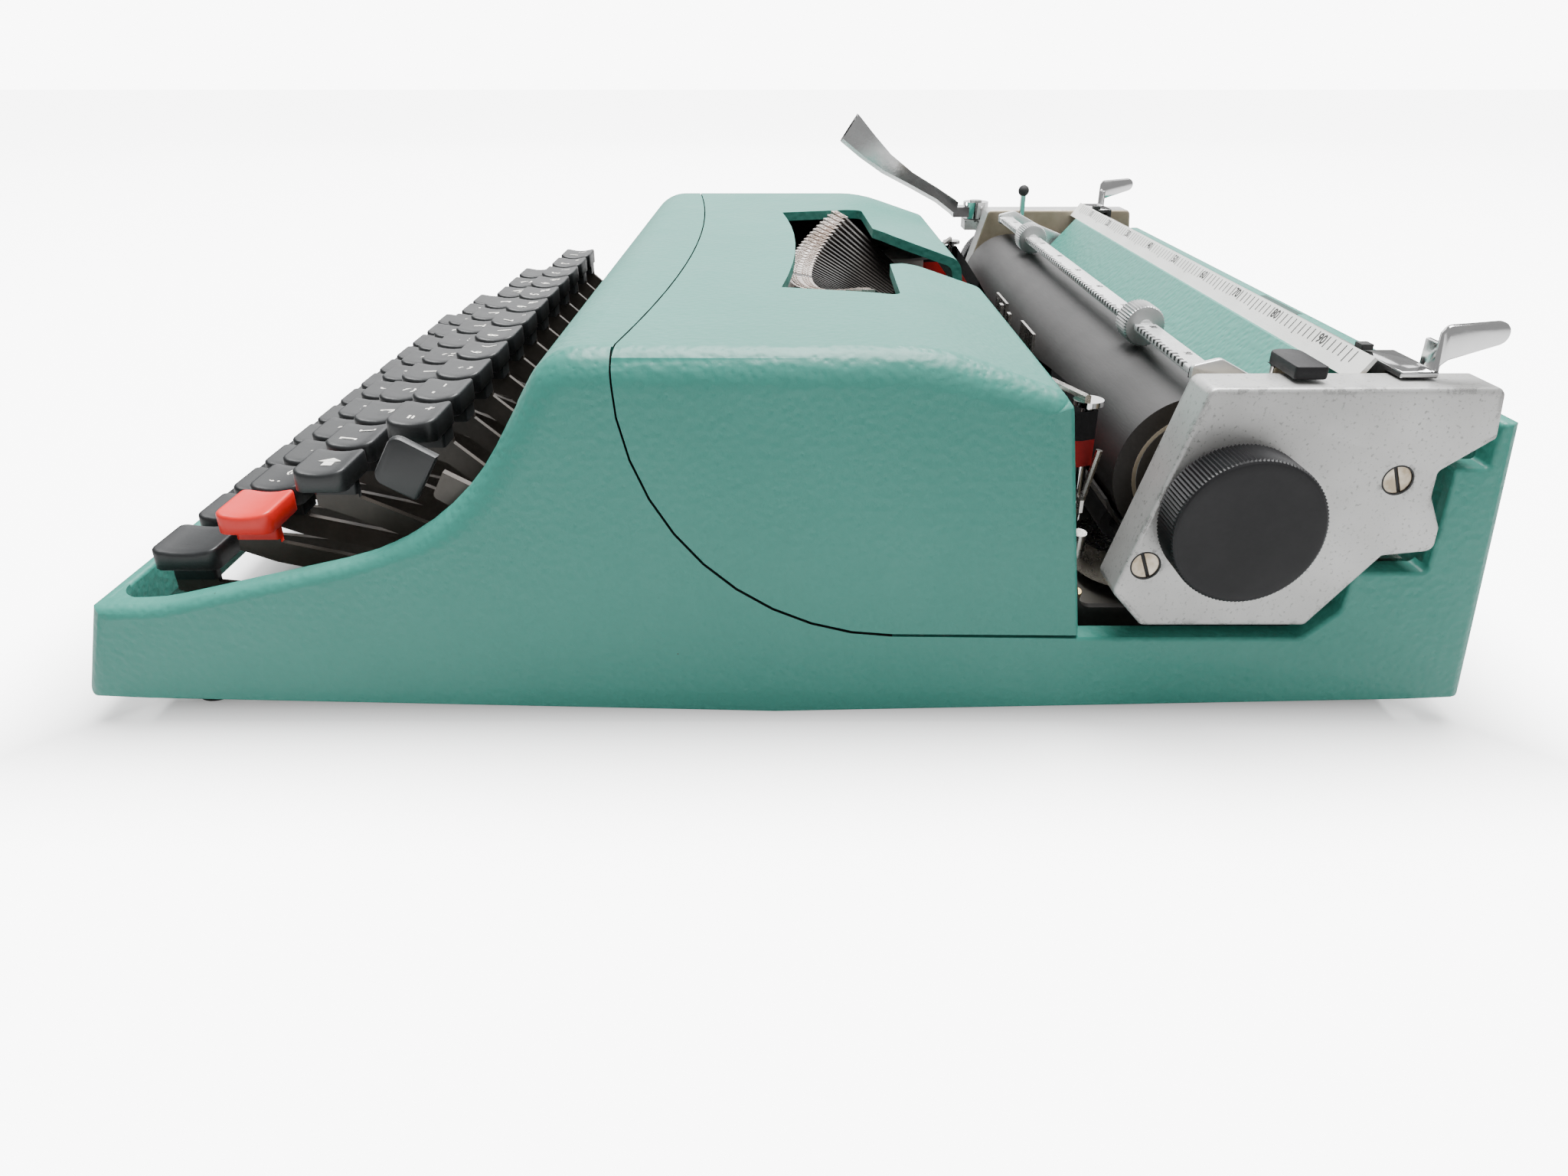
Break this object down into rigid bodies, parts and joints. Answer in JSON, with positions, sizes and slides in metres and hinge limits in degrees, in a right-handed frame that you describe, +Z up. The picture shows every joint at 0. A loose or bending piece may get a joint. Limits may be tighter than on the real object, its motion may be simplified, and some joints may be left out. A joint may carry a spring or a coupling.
{
  "type": "typewriter",
  "caption": "Flat portable manual typewriter with a painted metal body, four rows of keys, a type basket with ribbon spools, and a sliding platen carriage.",
  "frame": {"origin": "middle of the footprint's bounding box at the height of the table", "axes": "+X to the typist's right, +Y away from the typist, +Z up"},
  "size_m": [0.296, 0.3183, 0.1163],
  "materials": {
    "body_paint": "pale green crackle paint",
    "cap_plastic": "semi gloss dark grey",
    "red_plastic": "semi gloss red",
    "lever_steel": "dark enamel",
    "bright_steel": "nickel plated",
    "chrome_trim": "polished",
    "plate_steel": "satin plated",
    "platen_rubber": "matte",
    "feet_rubber": "matte",
    "knob_plastic": "matte black",
    "ribbon_cloth": "inked cotton",
    "scale_alu": "satin",
    "brass_trim": "satin"
  },
  "bodies": {
    "frame": {"body_shell": "body_paint", "base_frame": "lever_steel", "rubber_feet": "feet_rubber", "side_frames": "lever_steel", "key_fulcrum_rod": "bright_steel", "key_comb": "lever_steel", "typebar_segment": "lever_steel", "typebars": "lever_steel", "type_slugs": "bright_steel", "typebar_rest": "lever_steel", "spool_cups": "lever_steel", "ribbon": "ribbon_cloth", "ribbon_posts": "chrome_trim", "card_guides": "bright_steel", "bell": "chrome_trim"},
    "cover": {"ribbon_cover": "body_paint"},
    "rail": {"carriage_rail": "bright_steel"},
    "carriage": {"carriage_frame": "lever_steel", "left_end_plate": "plate_steel", "right_end_plate": "plate_steel", "end_plate_screws": "bright_steel", "paper_table": "body_paint", "scale_strip": "scale_alu", "margin_rail": "bright_steel", "paper_pan": "lever_steel"},
    "platen_roller": {"platen": "platen_rubber", "platen_shaft": "bright_steel", "left_knob": "knob_plastic", "right_knob": "knob_plastic"},
    "front_feed": {"front_feed_rollers": "bright_steel"},
    "rear_feed": {"rear_feed_rollers": "bright_steel"},
    "bail": {"paper_bail": "scale_alu"},
    "bail_rollers": {"bail_rollers": "bright_steel"},
    "paper_release": {"paper_release_lever": "lever_steel"},
    "return_lever": {"return_lever": "chrome_trim"},
    "line_spacer": {"line_space_lever": "bright_steel"},
    "left_stop": {"left_margin_stop": "chrome_trim"},
    "right_stop": {"right_margin_stop": "chrome_trim"},
    "lower_keys": {"lower_row_caps": "cap_plastic", "lower_row_levers": "lever_steel"},
    "home_keys": {"home_row_caps": "cap_plastic", "home_row_levers": "lever_steel"},
    "upper_keys": {"upper_row_caps": "cap_plastic", "upper_row_levers": "lever_steel"},
    "number_keys": {"number_row_caps": "cap_plastic", "number_row_levers": "lever_steel"},
    "centre_key": {"centre_key": "cap_plastic"},
    "centre_bar": {"centre_typebar": "bright_steel"},
    "vibrator": {"ribbon_vibrator": "bright_steel"},
    "space_bar": {"space_bar": "cap_plastic"},
    "shift_keys": {"shift_keys": "cap_plastic"},
    "shift_lock": {"shift_lock_key": "cap_plastic"},
    "backspace": {"backspace_key": "cap_plastic"},
    "tab": {"tab_key": "red_plastic"},
    "margin_release": {"margin_release_key": "cap_plastic"},
    "colour_selector": {"colour_selector": "cap_plastic"},
    "left_spool": {"left_spool": "bright_steel"},
    "right_spool": {"right_spool": "bright_steel"},
    "mainspring": {"mainspring_drum": "bright_steel"},
    "escapement": {"escapement_wheel": "brass_trim"}
  },
  "joints": [
    {"name": "cover_lift", "type": "slide", "parent": "frame", "child": "cover", "axis": [0, 0, 1], "range_m": [0, 0.06]},
    {"name": "shift_lift", "type": "slide", "parent": "frame", "child": "rail", "axis": [0, 0, 1], "range_m": [0, 0.005]},
    {"name": "carriage_slide", "type": "slide", "parent": "rail", "child": "carriage", "axis": [-1, 0, 0], "range_m": [-0.11, 0.11]},
    {"name": "platen_spin", "type": "hinge", "parent": "carriage", "child": "platen_roller", "pos_m": [0, 0.0946, 0.0546], "axis": [1, 0, 0], "continuous": true},
    {"name": "front_feed_spin", "type": "hinge", "parent": "carriage", "child": "front_feed", "pos_m": [0, 0.08513, 0.0343], "axis": [1, 0, 0], "continuous": true},
    {"name": "rear_feed_spin", "type": "hinge", "parent": "carriage", "child": "rear_feed", "pos_m": [0, 0.10407, 0.0343], "axis": [1, 0, 0], "continuous": true},
    {"name": "bail_lift", "type": "hinge", "parent": "carriage", "child": "bail", "pos_m": [0, 0.114, 0.068], "axis": [-1, 0, 0], "range_deg": [0, 35]},
    {"name": "bail_roller_spin", "type": "hinge", "parent": "bail", "child": "bail_rollers", "pos_m": [0, 0.0928, 0.0781], "axis": [1, 0, 0], "continuous": true},
    {"name": "paper_release_pull", "type": "hinge", "parent": "carriage", "child": "paper_release", "pos_m": [0.119, 0.107, 0.066], "axis": [1, 0, 0], "range_deg": [0, 8]},
    {"name": "return_lever_swing", "type": "hinge", "parent": "carriage", "child": "return_lever", "pos_m": [-0.141, 0.084, 0.075], "axis": [0, 0, 1], "range_deg": [0, 20], "stiffness_Nm_per_rad": 0.05, "springref_deg": -17.19},
    {"name": "line_spacer_set", "type": "hinge", "parent": "carriage", "child": "line_spacer", "pos_m": [-0.1219, 0.1, 0.068], "axis": [1, 0, 0], "range_deg": [-12, 12]},
    {"name": "left_stop_slide", "type": "slide", "parent": "carriage", "child": "left_stop", "axis": [1, 0, 0], "range_m": [0, 0.1]},
    {"name": "right_stop_slide", "type": "slide", "parent": "carriage", "child": "right_stop", "axis": [-1, 0, 0], "range_m": [0, 0.1]},
    {"name": "lower_row_press", "type": "hinge", "parent": "frame", "child": "lower_keys", "pos_m": [0, 0.056, 0.022], "axis": [1, 0, 0], "range_deg": [0, 2.8], "stiffness_Nm_per_rad": 1, "springref_deg": -17.19},
    {"name": "home_row_press", "type": "hinge", "parent": "frame", "child": "home_keys", "pos_m": [0, 0.056, 0.022], "axis": [1, 0, 0], "range_deg": [0, 2.8], "stiffness_Nm_per_rad": 1, "springref_deg": -17.19},
    {"name": "upper_row_press", "type": "hinge", "parent": "frame", "child": "upper_keys", "pos_m": [0, 0.056, 0.022], "axis": [1, 0, 0], "range_deg": [0, 2.8], "stiffness_Nm_per_rad": 1, "springref_deg": -17.19},
    {"name": "number_row_press", "type": "hinge", "parent": "frame", "child": "number_keys", "pos_m": [0, 0.056, 0.022], "axis": [1, 0, 0], "range_deg": [0, 2.8], "stiffness_Nm_per_rad": 1, "springref_deg": -17.19},
    {"name": "centre_bar_strike", "type": "hinge", "parent": "frame", "child": "centre_bar", "pos_m": [0, 0.02827, 0.02827], "axis": [-1, 0, 0], "range_deg": [0, 80]},
    {"name": "centre_key_press", "type": "hinge", "parent": "frame", "child": "centre_key", "pos_m": [0, 0.056, 0.022], "axis": [1, 0, 0], "range_deg": [0, 2.8], "stiffness_Nm_per_rad": 0.3, "springref_deg": -17.19},
    {"name": "vibrator_rise", "type": "slide", "parent": "frame", "child": "vibrator", "axis": [0, 0, 1], "range_m": [0, 0.005]},
    {"name": "space_bar_press", "type": "hinge", "parent": "frame", "child": "space_bar", "pos_m": [0, 0.056, 0.022], "axis": [1, 0, 0], "range_deg": [0, 2.8], "stiffness_Nm_per_rad": 0.3, "springref_deg": -17.19},
    {"name": "shift_press", "type": "hinge", "parent": "frame", "child": "shift_keys", "pos_m": [0, 0.056, 0.022], "axis": [1, 0, 0], "range_deg": [0, 2.8], "stiffness_Nm_per_rad": 0.3, "springref_deg": -17.19},
    {"name": "shift_lock_press", "type": "hinge", "parent": "frame", "child": "shift_lock", "pos_m": [0, 0.056, 0.022], "axis": [1, 0, 0], "range_deg": [0, 2.8], "stiffness_Nm_per_rad": 0.3, "springref_deg": -17.19},
    {"name": "backspace_press", "type": "hinge", "parent": "frame", "child": "backspace", "pos_m": [0, 0.056, 0.022], "axis": [1, 0, 0], "range_deg": [0, 2.8], "stiffness_Nm_per_rad": 0.3, "springref_deg": -17.19},
    {"name": "tab_press", "type": "hinge", "parent": "frame", "child": "tab", "pos_m": [0, 0.056, 0.022], "axis": [1, 0, 0], "range_deg": [0, 2.8], "stiffness_Nm_per_rad": 0.3, "springref_deg": -17.19},
    {"name": "margin_release_press", "type": "hinge", "parent": "frame", "child": "margin_release", "pos_m": [0, 0.056, 0.022], "axis": [1, 0, 0], "range_deg": [0, 2.8], "stiffness_Nm_per_rad": 0.3, "springref_deg": -17.19},
    {"name": "colour_set", "type": "hinge", "parent": "frame", "child": "colour_selector", "pos_m": [0.123, -0.048, 0.042], "axis": [1, 0, 0], "range_deg": [-10, 10]},
    {"name": "left_spool_turn", "type": "hinge", "parent": "frame", "child": "left_spool", "pos_m": [-0.094, 0.04, 0.06], "axis": [0, 0, 1], "continuous": true},
    {"name": "right_spool_turn", "type": "hinge", "parent": "frame", "child": "right_spool", "pos_m": [0.094, 0.04, 0.06], "axis": [0, 0, 1], "continuous": true},
    {"name": "mainspring_turn", "type": "hinge", "parent": "frame", "child": "mainspring", "pos_m": [-0.07, 0.095, 0.015], "axis": [0, 0, 1], "range_deg": [-316, 316]},
    {"name": "escapement_turn", "type": "hinge", "parent": "frame", "child": "escapement", "pos_m": [0.02, 0.106, 0.013], "axis": [0, 0, 1], "range_deg": [-316, 316]}
  ],
  "couplings": [
    {"joint": "front_feed_spin", "follows": "platen_spin", "ratio": -4.5},
    {"joint": "rear_feed_spin", "follows": "platen_spin", "ratio": -4.5},
    {"joint": "bail_roller_spin", "follows": "platen_spin", "ratio": -3.4615},
    {"joint": "shift_press", "follows": "shift_lift", "rad_per_m": 9.77},
    {"joint": "centre_key_press", "follows": "centre_bar_strike", "ratio": 0.035},
    {"joint": "vibrator_rise", "follows": "centre_bar_strike", "m_per_rad": 0.00358},
    {"joint": "right_spool_turn", "follows": "left_spool_turn", "ratio": 1},
    {"joint": "mainspring_turn", "follows": "carriage_slide", "rad_per_m": 50},
    {"joint": "escapement_turn", "follows": "carriage_slide", "rad_per_m": 49.47}
  ]
}
